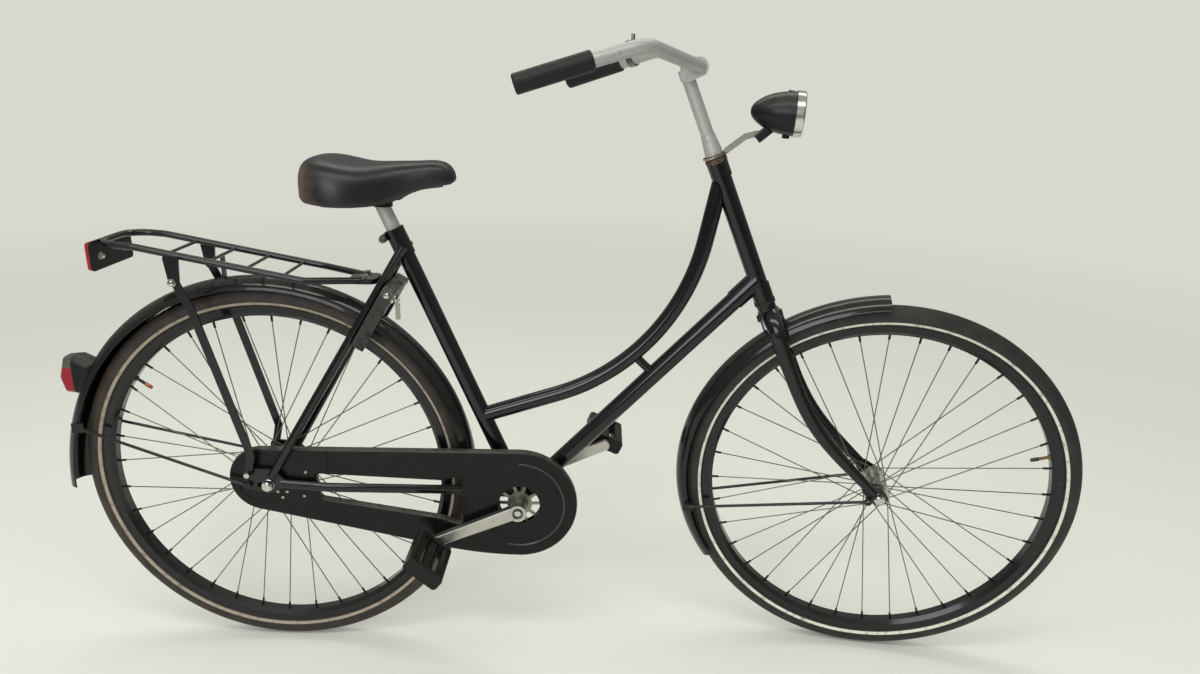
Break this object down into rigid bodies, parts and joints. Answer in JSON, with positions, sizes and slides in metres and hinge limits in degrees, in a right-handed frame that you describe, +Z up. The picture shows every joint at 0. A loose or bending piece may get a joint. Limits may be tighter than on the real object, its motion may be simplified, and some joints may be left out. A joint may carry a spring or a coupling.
{
  "type": "city bicycle",
  "caption": "Step-through city bicycle with swept-back handlebar, full fenders, closed chain case, rear rack, lamps and a wide padded saddle.",
  "frame": {"origin": "top of the saddle where the rider sits, in the bicycle's middle plane", "axes": "+X ahead, +Y to the rider's left, +Z up"},
  "size_m": [1.8746, 0.5232, 1.157],
  "materials": {
    "frame_paint": "gloss black enamel, chipped",
    "fender_paint": "gloss black enamel on sheet steel",
    "rack_paint": "black coated steel tube, dusty",
    "rim_paint": "gloss black rim",
    "case_plastic": "satin black moulded plastic",
    "lamp_plastic": "black moulded plastic",
    "pedal_plastic": "black moulded plastic with rubber blocks",
    "saddle_cover": "black padded vinyl, worn brown at the rear",
    "saddle_plastic": "black moulded plastic",
    "tyre_rubber": "black rubber with a cream side stripe",
    "grip_rubber": "matte black rubber",
    "spoke_steel": "galvanised wire",
    "hub_metal": "dull silver",
    "bar_metal": "satin oxidised aluminium",
    "crank_metal": "plated steel, dusty",
    "fastener_chrome": "plated steel",
    "rusty_plate": "plated steel gone brown with rust",
    "bell_chrome": "chromed steel",
    "lamp_chrome": "silver trim ring",
    "clear_lens": "clear ribbed plastic",
    "red_lens": "red ribbed plastic",
    "reflector_red": "red prismatic reflector",
    "lock_metal": "grey and black lock casing",
    "key_metal": "nickel plated key"
  },
  "bodies": {
    "frame": {"bottom_bracket_cups": "fastener_chrome", "bottom_bracket_shell": "frame_paint", "brake_arm": "rusty_plate", "chain_case_cover": "case_plastic", "chain_case_inner": "case_plastic", "chain_case_outer": "case_plastic", "chain_stays": "frame_paint", "down_tube": "frame_paint", "head_tube": "frame_paint", "headset_cups": "rusty_plate", "lock_key": "key_metal", "rack": "rack_paint", "rack_legs": "rack_paint", "rear_axle": "fastener_chrome", "rear_fender": "fender_paint", "rear_fender_stays": "fender_paint", "reflector": "reflector_red", "reflector_plate": "lamp_plastic", "ring_lock": "lock_metal", "saddle": "saddle_cover", "saddle_base": "saddle_plastic", "saddle_rails": "rack_paint", "seat_clamp_bolt": "rusty_plate", "seat_post": "bar_metal", "seat_stays": "frame_paint", "seat_tube": "frame_paint", "tail_lamp_clear_lens": "clear_lens", "tail_lamp_housing": "lamp_plastic", "tail_lamp_red_lens": "red_lens", "top_tube": "frame_paint"},
    "steering": {"bell": "bell_chrome", "fork_blades": "frame_paint", "fork_crown": "frame_paint", "front_axle": "fastener_chrome", "front_fender": "fender_paint", "front_fender_stays": "fender_paint", "grips": "grip_rubber", "handlebar": "bar_metal", "headlamp_lens": "clear_lens", "headlamp_rim": "lamp_chrome", "headlamp_shell": "lamp_plastic", "headset_locknuts": "rusty_plate", "lamp_bracket": "fastener_chrome", "lamp_clamp": "lamp_plastic", "stem": "bar_metal"},
    "front_wheel": {"front_hub": "hub_metal", "front_rim": "rim_paint", "front_spokes": "spoke_steel", "front_tyre": "tyre_rubber"},
    "rear_wheel": {"rear_hub": "hub_metal", "rear_rim": "rim_paint", "rear_spokes": "spoke_steel", "rear_tyre": "tyre_rubber"},
    "crankset": {"chainwheel": "crank_metal", "crank_left": "crank_metal", "crank_right": "crank_metal", "crank_spindles": "crank_metal"},
    "pedal_left": {"pedal_left": "pedal_plastic"},
    "pedal_right": {"pedal_right": "pedal_plastic"}
  },
  "joints": [
    {"name": "steering_turn", "type": "hinge", "parent": "frame", "child": "steering", "pos_m": [0.69792, 0, -0.22743], "axis": [-0.3827, 0, 0.9239], "range_deg": [-50.4, 69.6]},
    {"name": "front_wheel_spin", "type": "hinge", "parent": "steering", "child": "front_wheel", "pos_m": [0.93391, -0.01406, -0.57995], "axis": [0.1541, 0.986, 0.0638], "continuous": true},
    {"name": "rear_wheel_spin", "type": "hinge", "parent": "frame", "child": "rear_wheel", "pos_m": [-0.19, 0, -0.5795], "axis": [0, 1, 0], "continuous": true},
    {"name": "crank_spin", "type": "hinge", "parent": "frame", "child": "crankset", "pos_m": [0.266, 0, -0.617], "axis": [0, 1, 0], "continuous": true},
    {"name": "pedal_left_spin", "type": "hinge", "parent": "crankset", "child": "pedal_left", "pos_m": [0.42225, 0.1335, -0.55003], "axis": [0, 1, 0], "continuous": true},
    {"name": "pedal_right_spin", "type": "hinge", "parent": "crankset", "child": "pedal_right", "pos_m": [0.10975, -0.1335, -0.68397], "axis": [0, 1, 0], "continuous": true}
  ]
}
